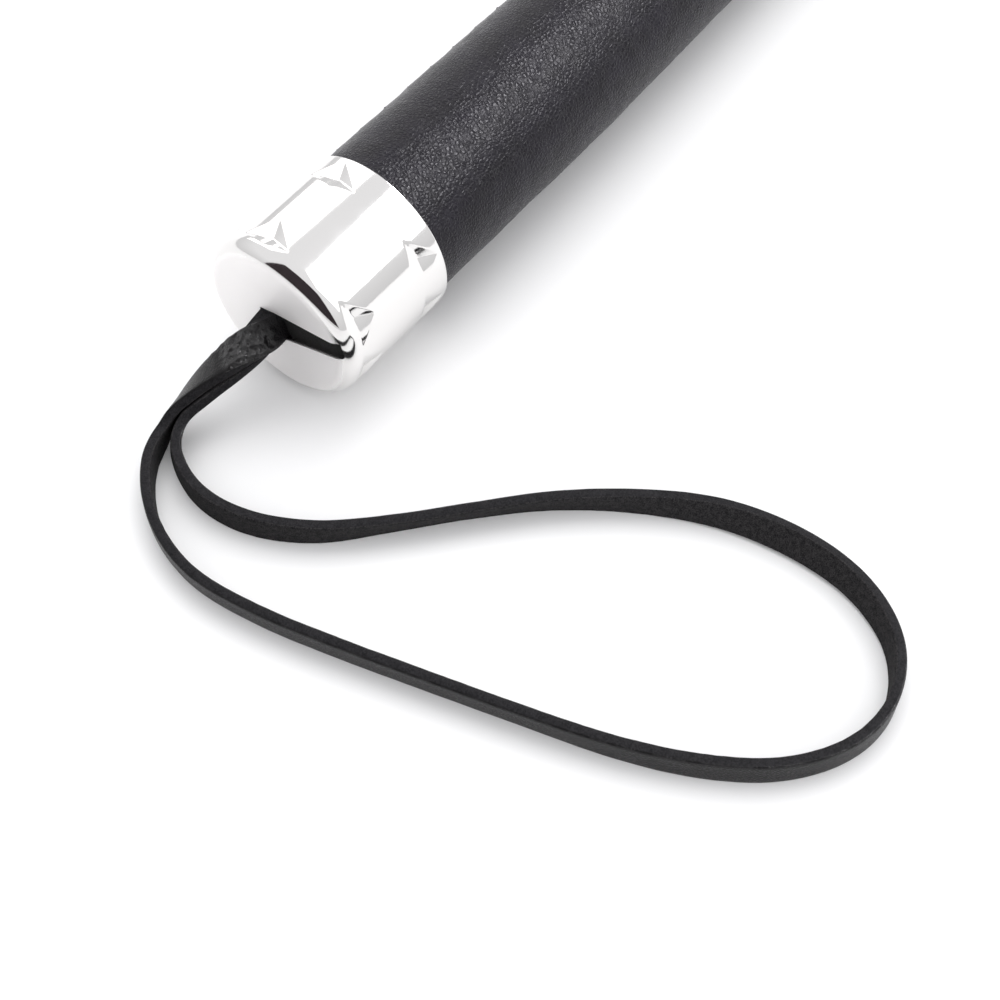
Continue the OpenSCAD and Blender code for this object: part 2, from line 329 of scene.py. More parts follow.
def grain_noise(tree, vector, size_mm, detail=3.0):
    """Smooth noise whose features are about a size across."""
    return add(tree, "ShaderNodeTexNoise", {
        "Vector": vector, "Scale": 1 / (size_mm * MM), "Detail": detail}).outputs["Fac"]


def ranged(tree, value, low, high, to_low, to_high):
    return add(tree, "ShaderNodeMapRange", {
        "Value": value, "From Min": low, "From Max": high, "To Min": to_low, "To Max": to_high,
    }).outputs["Result"]


def two_tone(tree, shader, value, dark, light):
    mixer = add(tree, "ShaderNodeMix", {"Factor": value}, data_type="RGBA")
    for socket in mixer.inputs:
        if socket.type == "RGBA":
            socket.default_value = (*(dark if socket.name == "A" else light), 1)
    colour = next(socket for socket in mixer.outputs if socket.type == "RGBA")
    tree.links.new(colour, shader.inputs["Base Color"])


def total(tree, *parts):
    """The sum of (socket, weight) pairs."""
    result = None
    for socket, weight in parts:
        scaled = add(tree, "ShaderNodeMath", {0: socket, 1: weight}, operation="MULTIPLY").outputs[0]
        result = scaled if result is None else add(
            tree, "ShaderNodeMath", {0: result, 1: scaled}, operation="ADD").outputs[0]
    return result


def relief(tree, shader, height, depth_mm, strength=1.0):
    bump = add(tree, "ShaderNodeBump", {"Height": height, "Distance": depth_mm * MM, "Strength": strength})
    tree.links.new(bump.outputs["Normal"], shader.inputs["Normal"])


def shader_of(material):
    return material.node_tree, material.node_tree.nodes["Principled BSDF"]


def leather(name, dark, light, roughness, cell_mm, depth_mm, specular):
    """Pebbled leather: rounded cells between fine creases, with a softer second grain."""
    material = new_material(name, dark, roughness, specular=specular)
    tree, shader = shader_of(material)
    place = coordinates(tree)
    wander = add(tree, "ShaderNodeTexNoise", {
        "Vector": place, "Scale": 1 / (2.5 * cell_mm * MM)}).outputs["Color"]
    shift = add(tree, "ShaderNodeVectorMath", {
        0: wander, "Scale": cell_mm * MM}, operation="SCALE").outputs[0]
    moved = add(tree, "ShaderNodeVectorMath", {0: place, 1: shift}, operation="ADD").outputs[0]
    cells = add(tree, "ShaderNodeTexVoronoi", {"Vector": moved, "Scale": 1 / (cell_mm * MM)},
                feature="DISTANCE_TO_EDGE").outputs["Distance"]
    pebble = ranged(tree, cells, 0.0, 0.28, 0.0, 1.0)
    fine = grain_noise(tree, place, cell_mm * 0.4)
    broad = grain_noise(tree, place, cell_mm * 6)
    relief(tree, shader, total(tree, (pebble, 0.7), (fine, 0.5), (broad, 0.8)), depth_mm)
    two_tone(tree, shader, ranged(tree, broad, 0.35, 0.7, 0.0, 1.0), dark, light)
    polish = ranged(tree, pebble, 0.0, 1.0, roughness + 0.14, roughness - 0.03)
    tree.links.new(polish, shader.inputs["Roughness"])
    return material


def crease_leather(material, centre, reach_mm, cell_mm, depth_mm):
    """Adds glossy wrinkles round a place, fading with distance from it."""
    tree, shader = shader_of(material)
    place = coordinates(tree)
    away = add(tree, "ShaderNodeVectorMath", {
        0: place, 1: centre}, operation="DISTANCE").outputs["Value"]
    near = ranged(tree, away, 0.4 * reach_mm * MM, reach_mm * MM, 1.0, 0.0)
    folds = add(tree, "ShaderNodeTexVoronoi", {"Vector": place, "Scale": 1 / (cell_mm * MM)},
                feature="SMOOTH_F1").outputs["Distance"]
    height = add(tree, "ShaderNodeMath", {0: folds, 1: near}, operation="MULTIPLY").outputs[0]
    pebbled = shader.inputs["Normal"].links[0].from_socket
    bump = add(tree, "ShaderNodeBump", {"Height": height, "Distance": depth_mm * MM, "Normal": pebbled})
    tree.links.new(bump.outputs["Normal"], shader.inputs["Normal"])
    gloss = shader.inputs["Specular IOR Level"].default_value
    shine = ranged(tree, near, 0.0, 1.0, gloss, 4 * gloss)
    tree.links.new(shine, shader.inputs["Specular IOR Level"])


def metal(name, color, roughness, scratch_mm, depth_mm):
    """Bright metal with fine handling marks."""
    material = new_material(name, color, roughness, metallic=1.0)
    tree, shader = shader_of(material)
    marks = grain_noise(tree, coordinates(tree, (1, 6, 6)), scratch_mm, 5.0)
    smear = grain_noise(tree, coordinates(tree), 4.0)
    relief(tree, shader, marks, depth_mm)
    haze = ranged(tree, smear, 0.35, 0.75, roughness, roughness + 0.05)
    tree.links.new(haze, shader.inputs["Roughness"])
    return material


def satin_end(material, polished, satin_painted_lighter, roughness):
    """Gives the flat end of the cap a rougher, satiny finish where the rest of it is polished, and a lighter
    colour there that is painted light, to brighten the end face.
    """
    tree, shader = shader_of(material)
    place = add(tree, "ShaderNodeTexCoord").outputs["Object"]
    along = add(tree, "ShaderNodeVectorMath", {
        0: place, 1: AXIS}, operation="DOT_PRODUCT").outputs["Value"]
    end_at = BUTT.dot(AXIS)
    dull_and_painted_lighter = ranged(tree, along, end_at + SATIN_FROM * MM, end_at + SATIN_TO * MM, 1.0, 0.0)
    # The end face's lighter colour is painted light: it brightens the face beyond the side's polished colour,
    # while its rougher finish is real.
    two_tone(tree, shader, dull_and_painted_lighter, polished, satin_painted_lighter)
    smooth = shader.inputs["Roughness"].links[0].from_socket
    tree.links.new(total(tree, (smooth, 1), (dull_and_painted_lighter, roughness)), shader.inputs["Roughness"])


def fibrous(name, dark, light, roughness, size_mm, depth_mm, stretch=(1, 1, 1), specular=0.3):
    """Matt stuff with a fibre: flesh side and cut edges of leather, foam, wood, thread, board."""
    material = new_material(name, dark, roughness, specular=specular)
    tree, shader = shader_of(material)
    fibre = grain_noise(tree, coordinates(tree, stretch), size_mm, 6.0)
    coarse = grain_noise(tree, coordinates(tree, stretch), size_mm * 4, 2.0)
    blend = total(tree, (fibre, 0.7), (coarse, 0.3))
    two_tone(tree, shader, ranged(tree, blend, 0.38, 0.62, 0.0, 1.0), dark, light)
    relief(tree, shader, fibre, depth_mm)
    return material


def twisted(name, dark, light, roughness, twist_mm):
    """Thread whose twist shows as slanting bands."""
    material = new_material(name, dark, roughness, specular=0.4)
    tree, shader = shader_of(material)
    bands = add(tree, "ShaderNodeTexWave", {
        "Vector": coordinates(tree), "Scale": 1 / (twist_mm * MM * TAU) * 2, "Distortion": 1.5,
        "Detail": 2.0}, wave_type="BANDS", bands_direction="DIAGONAL").outputs["Fac"]
    two_tone(tree, shader, bands, dark, light)
    relief(tree, shader, bands, 0.06)
    return material


POLISHED = (0.76, 0.75, 0.74)
# The end face's colour, lighter than the polished side's, is painted light that brightens the face; its satiny
# finish itself is real.
SATIN_PAINTED_LIGHTER = (0.93, 0.915, 0.91)
CHROME = metal("polished_metal", POLISHED, roughness=0.05, scratch_mm=0.9, depth_mm=0.002)
satin_end(CHROME, POLISHED, SATIN_PAINTED_LIGHTER, roughness=0.5)
STEEL = metal("steel", (0.55, 0.55, 0.56), roughness=0.3, scratch_mm=0.4, depth_mm=0.01)

GRIP_LEATHER = leather("grip_leather", (0.004, 0.003, 0.006), (0.008, 0.0065, 0.012),
                       roughness=0.27, cell_mm=0.6, depth_mm=0.07, specular=0.21)
STRAP_GRAIN = leather("strap_grain", (0.004, 0.0036, 0.004), (0.008, 0.0072, 0.008),
                      roughness=0.33, cell_mm=0.4, depth_mm=0.04, specular=0.2)
KEEPER_LEATHER = leather("keeper_leather", (0.008, 0.008, 0.011), (0.014, 0.013, 0.017),
                         roughness=0.40, cell_mm=0.7, depth_mm=0.06, specular=0.4)

STRAP_FLESH = fibrous("strap_flesh", (0.005, 0.005, 0.006), (0.036, 0.034, 0.035),
                      roughness=0.9, size_mm=0.16, depth_mm=0.05, specular=0.15)
STRAP_EDGE = fibrous("strap_edge", (0.004, 0.004, 0.005), (0.018, 0.017, 0.019),
                     roughness=0.75, size_mm=0.2, depth_mm=0.06, specular=0.15)
PAD_LEATHER = fibrous("pad_leather", (0.006, 0.006, 0.006), (0.014, 0.013, 0.013),
                      roughness=0.9, size_mm=0.3, depth_mm=0.05)
FOAM = fibrous("foam", (0.05, 0.05, 0.05), (0.14, 0.14, 0.14),
               roughness=0.95, size_mm=0.4, depth_mm=0.1)
WOOD = fibrous("wood", (0.40, 0.26, 0.13), (0.68, 0.50, 0.30),
               roughness=0.6, size_mm=0.5, depth_mm=0.04, stretch=(0.06, 1, 1))
FIBREGLASS = fibrous("fibreglass", (0.62, 0.58, 0.44), (0.80, 0.77, 0.66),
                     roughness=0.25, size_mm=0.3, depth_mm=0.01, stretch=(0.03, 1, 1), specular=0.5)
RUBBER = fibrous("rubber", (0.03, 0.03, 0.03), (0.06, 0.06, 0.06),
                 roughness=0.75, size_mm=0.2, depth_mm=0.02)
FILLER_BOARD = fibrous("filler_board", (0.22, 0.12, 0.06), (0.42, 0.26, 0.15),
                       roughness=0.85, size_mm=0.25, depth_mm=0.04, stretch=(0.3, 0.3, 1))

THREAD = twisted("thread", (0.012, 0.012, 0.014), (0.05, 0.05, 0.055), roughness=0.55, twist_mm=0.25)
BRAID_YARN = twisted("braid", (0.012, 0.012, 0.015), (0.04, 0.04, 0.046), roughness=0.38, twist_mm=0.3)

# ---------------------------------------------------------------- wrist strap: one flat lace

# Points of the doubled neck: x, y, z and the lean of the strap's width, as in the design. The first three
# are in the slot and at its mouth.
NECK = [
    (1.4, 0.6, 12.6, 165), (0.2, 0.6, 12.6, 163), (-0.9, 0.4, 12.4, 152),
    (-2, 0.5, 12.1, 138), (-3.1, 1.1, 11.4, 118), (-4.7, 1.9, 10.4, 100), (-7.1, 3, 8.8, 82),
    (-9.7, 4.2, 6.9, 62), (-12.3, 5, 5.1, 44), (-15, 5.5, 3.6, 26)]
# Points of the loop, which stands on its edge: x, y and lean
LOOP = [
    (-17.2, 5.8, 6), (-21.6, 4.2, 0), (-26, 0.2, 0), (-29.2, -5.4, -4), (-30.8, -13, -8), (-29.6, -23, -8),
    (-26.8, -34, -8), (-23.6, -45, -8), (-20.2, -56.4, -8), (-16.6, -67.6, -4), (-12.2, -77.2, 0),
    (-6.6, -85, 0), (0.8, -90, 0), (8.6, -90.8, 0), (15.6, -87, -6), (19.8, -79.4, -14), (20.6, -70, -20),
    (18.4, -59.6, -14), (13.4, -50, 2), (6.4, -41, 14), (-1.4, -33.6, 20), (-9, -27, 18), (-16.2, -20, 6),
    (-20.6, -12, 0), (-21.4, -4.2, 0), (-18.6, 2.4, -4)]
STRAP_ROUND = 0.22      # radius of the strap's edges
STRAP_STEPS = 8
STRAP_STEP = 0.5
STRAP_EASE = 14
# The strap is creased by the slot: where, how far round it, and where along it the folds rise and fade
CREASED = (-4.9, 0.5, 11.9)
CREASED_REACH = 4.6
CREASED_FROM = (3.5, 5.5)
CREASED_TO = (9, 14)


def strap_frame(ahead, lean):
    """Directions of the strap's width and of its grain side, from its travel and its lean."""
    side = Vector((-ahead.y, ahead.x, 0)).normalized()
    up = ahead.cross(side)
    c, s = math.cos(math.radians(lean)), math.sin(math.radians(lean))
    return up * c + side * s, up * s - side * c


def directions(points):
    """The way a path runs at each of its points."""
    out = []
    for i in range(len(points)):
        a, b = points[max(0, i - 1)], points[min(len(points) - 1, i + 1)]
        out.append((Vector(b[:3]) - Vector(a[:3])).normalized())
    return out


def strand(neck, sign):
    """One of the neck's two layers, which lie back to back."""
    out = []
    for point, ahead in zip(neck, directions(neck)):
        grain = strap_frame(ahead, point[3])[1]
        moved = Vector(point[:3]) + grain * sign * (STRAP_T + STRAND_GAP) / 2
        out.append((*moved, sign * point[3]))
    return out


def even_path(points, step):
    """The same path with its points an equal distance apart."""
    lengths = [0.0]
    for a, b in zip(points, points[1:]):
        lengths.append(lengths[-1] + (Vector(b[:3]) - Vector(a[:3])).length)
    count = round(lengths[-1] / step)
    out, i = [], 0
    for k in range(count + 1):
        wanted = lengths[-1] * k / count
        while i < len(points) - 2 and lengths[i + 1] < wanted:
            i += 1
        t = (wanted - lengths[i]) / (lengths[i + 1] - lengths[i])
        out.append(tuple(mix(a, b, t) for a, b in zip(points[i], points[i + 1])))
    return out


def eased(points, rounds):
    """A path with its small kinks rounded off; the ends stay."""
    for _ in range(rounds):
        points = [points[0]] + [
            tuple((a + 2 * b + c) / 4 for a, b, c in zip(points[i - 1], points[i], points[i + 1]))
            for i in range(1, len(points) - 1)] + [points[-1]]
    return points


def resting_height(lean):
    """How high the strap's middle is when its lower edge is on the floor."""
    a = math.radians(lean)
    return STRAP_W / 2 * abs(math.cos(a)) + STRAP_T / 2 * abs(math.sin(a))


def strap_section():
    """Outline of the strap as (across its width, through its thickness, side) points.

    The side is 0 on the grain, 1 on the flesh and 2 on the edges.
    """
    w, t, r = STRAP_W / 2, STRAP_T / 2, STRAP_ROUND
    across = [w - r, 0.66 * w, 0.33 * w, 0, -0.33 * w, -0.66 * w, r - w]
    grain = [(a, t + 0.05 * (1 - (a / w) ** 2), 0) for a in across]
    flesh = [(-a, -t, 1) for a in across]
    left = [(-w + 0.06, t - 0.07, 0), (-w, t - r, 2), (-w, 0.12, 2), (-w, r - t, 2)]
    right = [(w - 0.06, 0.07 - t, 1), (w, r - t, 2), (w, -0.12, 2), (w, t - r, 2), (w - 0.06, t - 0.07, 0)]
    return grain + left + flesh + right


def make_strap():
    loop = [(x, y, resting_height(lean), lean) for x, y, lean in LOOP]
    path = catmull(strand(NECK, 1) + loop + strand(NECK, -1)[::-1], STRAP_STEPS)
    path = eased(even_path(path, STRAP_STEP), STRAP_EASE)
    heads = directions(path)
    section = strap_section()
    sides = []
    for k, here in enumerate(section):
        after = section[(k + 1) % len(section)]
        sides.append(after[2] if here[2] == 2 else here[2])
    distance, rings, slots = 0.0, [], []
    for i, (point, ahead) in enumerate(zip(path, heads)):
        if i:
            distance += (Vector(point[:3]) - Vector(path[i - 1][:3])).length
            slots += sides
        wide, grain = strap_frame(ahead, point[3])
        ring = []
        for a, b, kind in section:
            lift = 0.0
            if kind == 0:
                crease = noise.noise(Vector((distance * 1.1, a * 0.35, 3.7)))
                faded = smoothstep(*CREASED_FROM, distance) * (1 - smoothstep(*CREASED_TO, distance))
                lift = 0.22 * crease * faded
                lift += 0.03 * noise.noise(Vector((distance * 0.35, a * 0.5, 9.1)))
            elif kind == 1:
                lift = -0.03 * noise.noise(Vector((distance * 0.9, a * 1.1, 1.3)))
            else:
                a += 0.04 * noise.noise(Vector((distance * 0.8, b * 2, 5.1))) * (1 if a > 0 else -1)
            ring.append(by_butt(*(Vector(point[:3]) + wide * a + grain * (b + lift))))
        rings.append(ring)
    finishes = [STRAP_GRAIN, STRAP_FLESH, STRAP_EDGE]
    strap = make_mesh("wrist_strap_lace", flat(rings), skin(rings), finishes, slots + [2, 2])
    outward(strap)
    sharpen(strap, 40)
    route = [by_butt(*p[:3]) for p in path]
    return strap, route


crease_leather(STRAP_GRAIN, by_butt(*CREASED), CREASED_REACH, cell_mm=0.75, depth_mm=1.1)
STRAP, STRAP_ROUTE = make_strap()
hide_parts("wrist_strap")
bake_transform(STRAP)

# ---------------------------------------------------------------- end cap

# The outline of a punched dent, in millimetres: along the cap and round it from the dent's sharp corner
DENT = [(0, 0), (3.7, 4.9), (0, 8.2), (-1.1, 3.8)]
DENT_CENTRE = (0.9, 3.7)
DENT_DEPTH = 0.6
# The sharp corners' distances along the cap. Even and odd rows face opposite ways, and each is turned a
# little from even spacing, in degrees from the top towards the right.
DENT_STATIONS = (3.0, 15.6)
DENT_ROWS = 6
DENT_PITCH = 60
DENT_TURN = (4.5, -16.5)
CAP_SIDES = 560


def triangle_share(p, a, b, c):
    """Barycentric shares of a point in a triangle."""
    det = (b[1] - c[1]) * (a[0] - c[0]) + (c[0] - b[0]) * (a[1] - c[1])
    u = ((b[1] - c[1]) * (p[0] - c[0]) + (c[0] - b[0]) * (p[1] - c[1])) / det
    v = ((c[1] - a[1]) * (p[0] - c[0]) + (a[0] - c[0]) * (p[1] - c[1])) / det
    return u, v, 1 - u - v


def dent_depth(along, across):
    """How deep a dent is at a place measured from its sharp corner."""
    for i, corner in enumerate(DENT):
        shares = triangle_share((along, across), DENT_CENTRE, corner, DENT[(i + 1) % len(DENT)])
        if min(shares) >= 0:
            return DENT_DEPTH * shares[0]
    return 0.0


def cap_hollow(x, angle):
    """How far the cap's side lies below a true cylinder."""
    turn = math.degrees(-angle)
    for row in range(DENT_ROWS):
        way = -1 if row % 2 == 0 else 1
        apex = DENT_PITCH * row + DENT_TURN[row % 2]
        arc = math.radians((turn - apex + 180) % 360 - 180) * CAP_R * way
        if -1 < arc < 9:
            for station in DENT_STATIONS:
                if -2 < x - station < 5:
                    deep = dent_depth(x - station, arc)
                    if deep:
                        return deep
    return 0.0


def make_cap():
    """The pressed cup: its end face, the rounding, the dented side, a rolled lip and the inside."""
    inner = CAP_R - CAP_WALL
    lip = 0.25
    arc = [math.radians(a) for a in range(0, 91, 6)]
    outline = [(0.0, r) for r in (0.5, 3.0, 6.0, 9.0)]
    outline += [(CAP_ROUND * (1 - math.cos(a)), CAP_R - CAP_ROUND * (1 - math.sin(a))) for a in arc]
    outline += [(x, CAP_R) for x in spread(CAP_ROUND, CAP_LEN - lip, 0.15)[1:]]
    outline += [(CAP_LEN - lip * (1 - math.sin(a)), CAP_R - lip * (1 - math.cos(a))) for a in arc[2::3]]
    outline += [(CAP_LEN, inner + 0.1), (CAP_LEN - 0.1, inner)]
    small = CAP_ROUND - CAP_WALL
    outline += [(CAP_ROUND - small * math.sin(a), CAP_R - CAP_ROUND + small * math.cos(a))
                for a in arc[::3]]
    outline += [(CAP_WALL, r) for r in (6.0, 0.5)]

    def dented(i, angle):
        x, r = outline[i]
        return -cap_hollow(x, angle) if r == CAP_R else 0.0

    return lathe("end_cap_shell", outline, CAP_SIDES, CHROME, closed=False, lift=dented)


def cut_slot(cap):
    """Cuts the strap's slot through the end face, with small round corners."""
    half, tip, corner = SLOT_H / 2, SLOT_TIP_H / 2, 0.35
    outline = []
    for cy, cz, start in ((SLOT_BACK - corner, half - corner, 0), (-SLOT_FULL, half - corner, 90),
                          (-SLOT_END + corner, tip - corner, 90), (-SLOT_END + corner, corner - tip, 180),
                          (-SLOT_FULL, corner - half, 270), (SLOT_BACK - corner, corner - half, 270)):
        for a in ((0, 30, 60, 90) if cy != -SLOT_FULL else (0,)):
            turn = math.radians(start + a)
            outline.append((cy + corner * math.cos(turn), cz + corner * math.sin(turn)))
    c, s = math.cos(SLOT_ANGLE), math.sin(SLOT_ANGLE)
    rings = [[on_crop(x, y * c + z * s, z * c - y * s) for y, z in outline]
             for x in (-1.0, CAP_ROUND + 0.35)]
    cutter = make_mesh("slot_cutter", flat(rings), skin(rings), [CHROME])
    outward(cutter)
    modifier = cap.modifiers.new("slot", "BOOLEAN")
    modifier.operation = "DIFFERENCE"
    modifier.solver = "EXACT"
    modifier.object = cutter
    bpy.context.view_layer.update()
    done = bpy.data.meshes.new_from_object(cap.evaluated_get(bpy.context.evaluated_depsgraph_get()))
    cap.modifiers.clear()
    cap.data = done
    bpy.data.objects.remove(cutter)


CAP = make_cap()
cut_slot(CAP)
sharpen(CAP, 40)
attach(CAP, "root")
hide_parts("end_cap")

# ---------------------------------------------------------------- grip leather and its seam

COVER_SIDES = 240
SEAM_START = 25.0
SEAM_PITCH = 5.0
SEAM_LEN = 3.0
SEAM_R = 0.35
SEAM_SLANT = math.radians(25)


def cover_radius(x):
    """Radius of the leather's outside, which is thinned where the cap covers it."""
    return grip_radius(x) - (SKIVE if x < CAP_LEN else 0.0)


def cover_lift(x, angle):
    """Soft unevenness of the leather, and the ridge where its edges meet."""
    place = Vector((x * 0.16, math.cos(angle) * 1.7, math.sin(angle) * 1.7))
    fine = Vector((x * 0.55, math.cos(angle) * 6, math.sin(angle) * 6 + 7))
    lift = 0.10 * noise.noise(place) + 0.045 * noise.noise(fine)
    off = abs((angle - SEAM_ANGLE + math.pi) % TAU - math.pi) * GRIP_R
    ridge = 0.16 * math.exp(-(off / 1.1) ** 2) - 0.18 * math.exp(-(off / 0.3) ** 2)
    pull = 1 + 0.5 * math.cos(TAU * (x - SEAM_START) / SEAM_PITCH)
    shown = smoothstep(CAP_LEN, CAP_LEN + 1.5, x)
    return (lift + ridge * pull) * shown


def make_cover():
    """The leather sleeve, outside and inside."""
    shown = spread(CAP_LEN + 0.05, GRIP_END, 0.35)
    outline = [(x, cover_radius(x)) for x in (GRIP_START, 12.0, CAP_LEN - 0.05)]
    outline += [(x, cover_radius(x)) for x in shown]
    under = [(x, grip_radius(x) - LEATHER_T) for x in (GRIP_END, 120.0, TAPER_START, 30.0, GRIP_START)]

    def uneven(i, angle):
        return cover_lift(outline[i][0], angle) if i < len(outline) else 0

    cover = lathe("grip_leather_cover", outline + under, COVER_SIDES, GRIP_LEATHER, lift=uneven)
    sharpen(cover, 50)
    return cover


COVER = make_cover()
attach(COVER, "root")
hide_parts("grip_cover")


def make_seam():
    """Slanting stitches over the seam, sunk a little into the leather."""
    tubes = []
    for x in spread(SEAM_START, FERRULE_START - SEAM_PITCH, SEAM_PITCH):
        radius = grip_radius(x) + 0.02
        half = SEAM_LEN / 2
        turn = half * math.cos(SEAM_SLANT) / radius
        start = around(x - half * math.sin(SEAM_SLANT), radius, SEAM_ANGLE - turn)
        end = around(x + half * math.sin(SEAM_SLANT), radius, SEAM_ANGLE + turn)
        up = around(x, radius + 1, SEAM_ANGLE) - around(x, radius, SEAM_ANGLE)
        tubes.append(capsule_points(start, end, up.normalized(), SEAM_R * MM))
    return many_tubes("grip_seam_thread", tubes, [THREAD])


SEAM = make_seam()
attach(SEAM, "root")
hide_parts("grip_seam_stitches")

# ---------------------------------------------------------------- ferrule, thread windings and braid

NOSE_R = 5.0
NOSE_LEN = 3.0


def make_ferrule():
    """A collar with a grooved rim over the front of the leather, a cone, and a nose round the braid."""
    outer = GRIP_FRONT_R + 0.7
    outline = [(FERRULE_START, grip_radius(FERRULE_START) + 0.05), (FERRULE_START, outer - 0.25),
               (FERRULE_START + 0.25, outer), (FERRULE_START + 1.6, outer)]
    groove = FERRULE_START + 2.0
    outline += [(groove + 0.5 * k, outer - (0.3 if k % 2 else 0.0)) for k in range(5)]
    outline += [(GRIP_END - 0.6, outer), (GRIP_END - 0.15, outer - 0.12), (GRIP_END + 0.8, outer - 0.8)]
    cone_end = FERRULE_END - NOSE_LEN
    for t in (0.2, 0.4, 0.6, 0.8, 1.0):
        waist = 0.35 * math.sin(math.pi * t)
        outline.append((mix(GRIP_END + 0.8, cone_end, t), mix(outer - 0.8, NOSE_R + 0.8, t) - waist))
    mouth, bore = braid_radius(FERRULE_END) + 0.02, 4.1
    outline += [(cone_end + 0.2, NOSE_R + 0.1), (cone_end + 0.4, NOSE_R), (FERRULE_END - 0.3, NOSE_R),
                (FERRULE_END, NOSE_R - 0.3), (FERRULE_END, mouth), (FERRULE_END - 4.0, mouth),
                (FERRULE_END - 4.0, bore), (GRIP_END, bore), (GRIP_END, grip_radius(GRIP_END) + 0.05)]
    ferrule = lathe("front_ferrule_collar", outline, 96, CHROME)
    sharpen(ferrule, 35)
    return ferrule


FERRULE = make_ferrule()
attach(FERRULE, "root")
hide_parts("front_ferrule")


def winding(name, start, end, under, thread, steps=28, sides=6):
    """Thread wound side by side round the crop, from one distance to another."""
    r = thread / 2
    turns = (end - start - thread) / (thread * 0.94)
    total_steps = int(turns * steps)
    rings = []
    for i in range(total_steps + 1):
        t = i / total_steps
        x, angle = mix(start + r, end - r, t), TAU * turns * t
        out = (around(x, 1, angle) - around(x, 0, angle)).normalized()
        base = under(x) + r * 0.85
        rings.append([around(x + r * math.sin(a), base, angle) + out * r * math.cos(a) * MM
                      for a in (TAU * k / sides for k in range(sides))])
    tube = make_mesh(name, flat(rings), skin(rings), [THREAD])
    outward(tube)
    return tube


def sleeve_radius(x):
    return braid_radius(x) + SLEEVE_T


BINDING = winding("front_binding_thread", FERRULE_END, BINDING_END, braid_radius, 0.5)
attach(BINDING, "root")
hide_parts("front_binding")
WHIPPING = winding("keeper_whipping_thread", SLEEVE_START, WHIP_END, sleeve_radius, 0.6)
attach(WHIPPING, "root")
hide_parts("keeper_whipping")

BRAID_START = FERRULE_END - 3.9
STRANDS = 8             # yarns each way round
BRAID_TURN = 0.26       # radians that a yarn turns in a millimetre
BRAID_MIDDLE = 0.58     # height of the yarns' middle above the rod
BRAID_WAVE = 0.17       # how far a yarn rises and dips where it crosses others


def make_braid():
    """Sixteen flat yarns, eight each way round, that pass over and under each other, on a dark core."""
    tubes = []
    stations = spread(BRAID_START, BRAID_END, 0.5)
    for way in (1, -1):
        for i in range(STRANDS):
            rings = []
            for x in stations:
                angle = way * BRAID_TURN * (x - BRAID_START) + TAU * i / STRANDS
                weave = way * BRAID_WAVE * math.cos(STRANDS * BRAID_TURN * (x - BRAID_START))
                r = rod_radius(x) + BRAID_MIDDLE + weave
                slope = math.atan(BRAID_TURN * r)
                half = 0.46 * TAU * r / STRANDS * math.cos(slope)
                ring = []
                for k in range(8):
                    a = TAU * k / 8
                    wide, thick = half * math.cos(a), 0.24 * math.sin(a)
                    ring.append(around(x - way * wide * math.sin(slope), r + thick,
                                       angle + wide * math.cos(slope) / r))
                rings.append(ring)
            tubes.append(rings)
    core = [[around(x, rod_radius(x) + 0.3, TAU * k / 24) for k in range(24)] for x in stations[::8]]
    return many_tubes("shaft_braid_yarn", tubes + [core], [BRAID_YARN])


BRAID = make_braid()
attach(BRAID, "root")
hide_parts("shaft_braid")

# ---------------------------------------------------------------- keeper: a leather tongue on the tip

JOINTS = {joint["name"]: joint for joint in frame["joints"]}
HINGE_AT = Vector(JOINTS["keeper_flex"]["pos_m"])
FLAP_DROP = math.asin((HINGE_AT.z / MM - FLAP_T / 2 - 0.2) / FLAP_LEN)
FLAP_AHEAD = Vector((math.cos(FLAP_DROP), 0, -math.sin(FLAP_DROP)))
FLAP_UP = FLAP_AHEAD.cross(LEFT)
SHOULDER = 26.0         # where the tongue reaches its full width
CORNER_R = 5.0
FLEX_REACH = 3          # the crop's line bends into the tongue's this far either side of the hinge
STITCH_INSET = 2.2
STITCH_PITCH = 3.6
STITCH_LEN = 2.6
STITCH_R = 0.3
STITCH_ROOT = 5.0


def on_flap(x, y, z):
    """The point x along the tongue from its hinge line, y to its left and z above its middle."""
    return HINGE_AT + (FLAP_AHEAD * x + LEFT * y + FLAP_UP * z) * MM


def keeper_place(x, y, z):
    """A point of the keeper, whose line bends from the crop's to the tongue's at the hinge."""
    share = smoothstep(HINGE - FLEX_REACH, HINGE + FLEX_REACH, x)
    return on_crop(x, y, z).lerp(on_flap(x - HINGE, y, z), share)


def half_width(x):
    """Half the tongue's width at a distance from its hinge line."""
    if x < SHOULDER:
        return mix(FLAP_ROOT_W, FLAP_W, max(0.0, x) / SHOULDER) / 2
    near_end = max(0.0, x - (FLAP_LEN - CORNER_R))
    return FLAP_W / 2 - CORNER_R + math.sqrt(max(0.0, CORNER_R ** 2 - near_end ** 2))


def keeper_section(x):
    """Outline across the keeper: round at the root, flat with two leather layers at the tongue."""
    flat_share = smoothstep(WHIP_END, HINGE - FLEX_REACH, x)
    wide = mix(sleeve_radius(x), FLAP_ROOT_W / 2, flat_share) if x < HINGE else half_width(x - HINGE)
    thick = mix(sleeve_radius(min(x, WHIP_END)), FLAP_T / 2, flat_share)
    out = []
    for k in range(64):
        a = TAU * k / 64
        c, s = math.cos(a), math.sin(a)
        power = mix(1.0, 0.16, flat_share)
        y = wide * math.copysign(abs(c) ** mix(1.0, 0.55, flat_share), c)
        z = thick * math.copysign(abs(s) ** power, s)
        if flat_share > 0.99:
            edge = wide - abs(y)
            z -= math.copysign(0.12 * math.exp(-((edge - STITCH_INSET) / 0.5) ** 2), s)
            z -= math.copysign(0.25 * math.exp(-(edge / 0.5) ** 2), s)
            if abs(s) < 0.01:
                y -= math.copysign(0.35, c)
        out.append((y, z))
    return out


